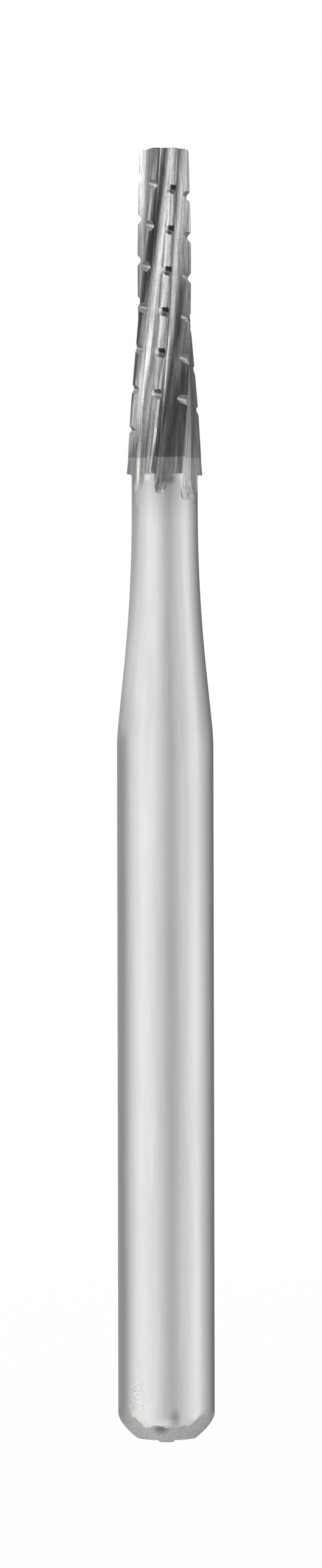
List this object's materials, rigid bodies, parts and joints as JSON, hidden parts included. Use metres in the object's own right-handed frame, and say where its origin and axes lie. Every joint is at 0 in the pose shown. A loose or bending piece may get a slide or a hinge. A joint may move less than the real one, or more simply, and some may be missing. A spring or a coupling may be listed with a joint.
{
  "type": "dental bur",
  "caption": "Friction-grip dental bur: a slim tapered carbide head with spiral crosscut blades on a plain steel shank with a waisted neck.",
  "frame": {"origin": "on the axis, at the flat back end of the shank", "axes": "+Z along the axis from the shank's back end to the tip of the head; the front of the picture is at -Y"},
  "size_m": [0.0016, 0.0016, 0.0215],
  "materials": {
    "carbide": "ground sintered carbide, dark satin with fine grinding lines",
    "steel": "centreless-ground stainless steel, satin, matt at the back end"
  },
  "bodies": {
    "root": {"carbide_head": "carbide", "steel_shank": "steel"}
  },
  "joints": []
}
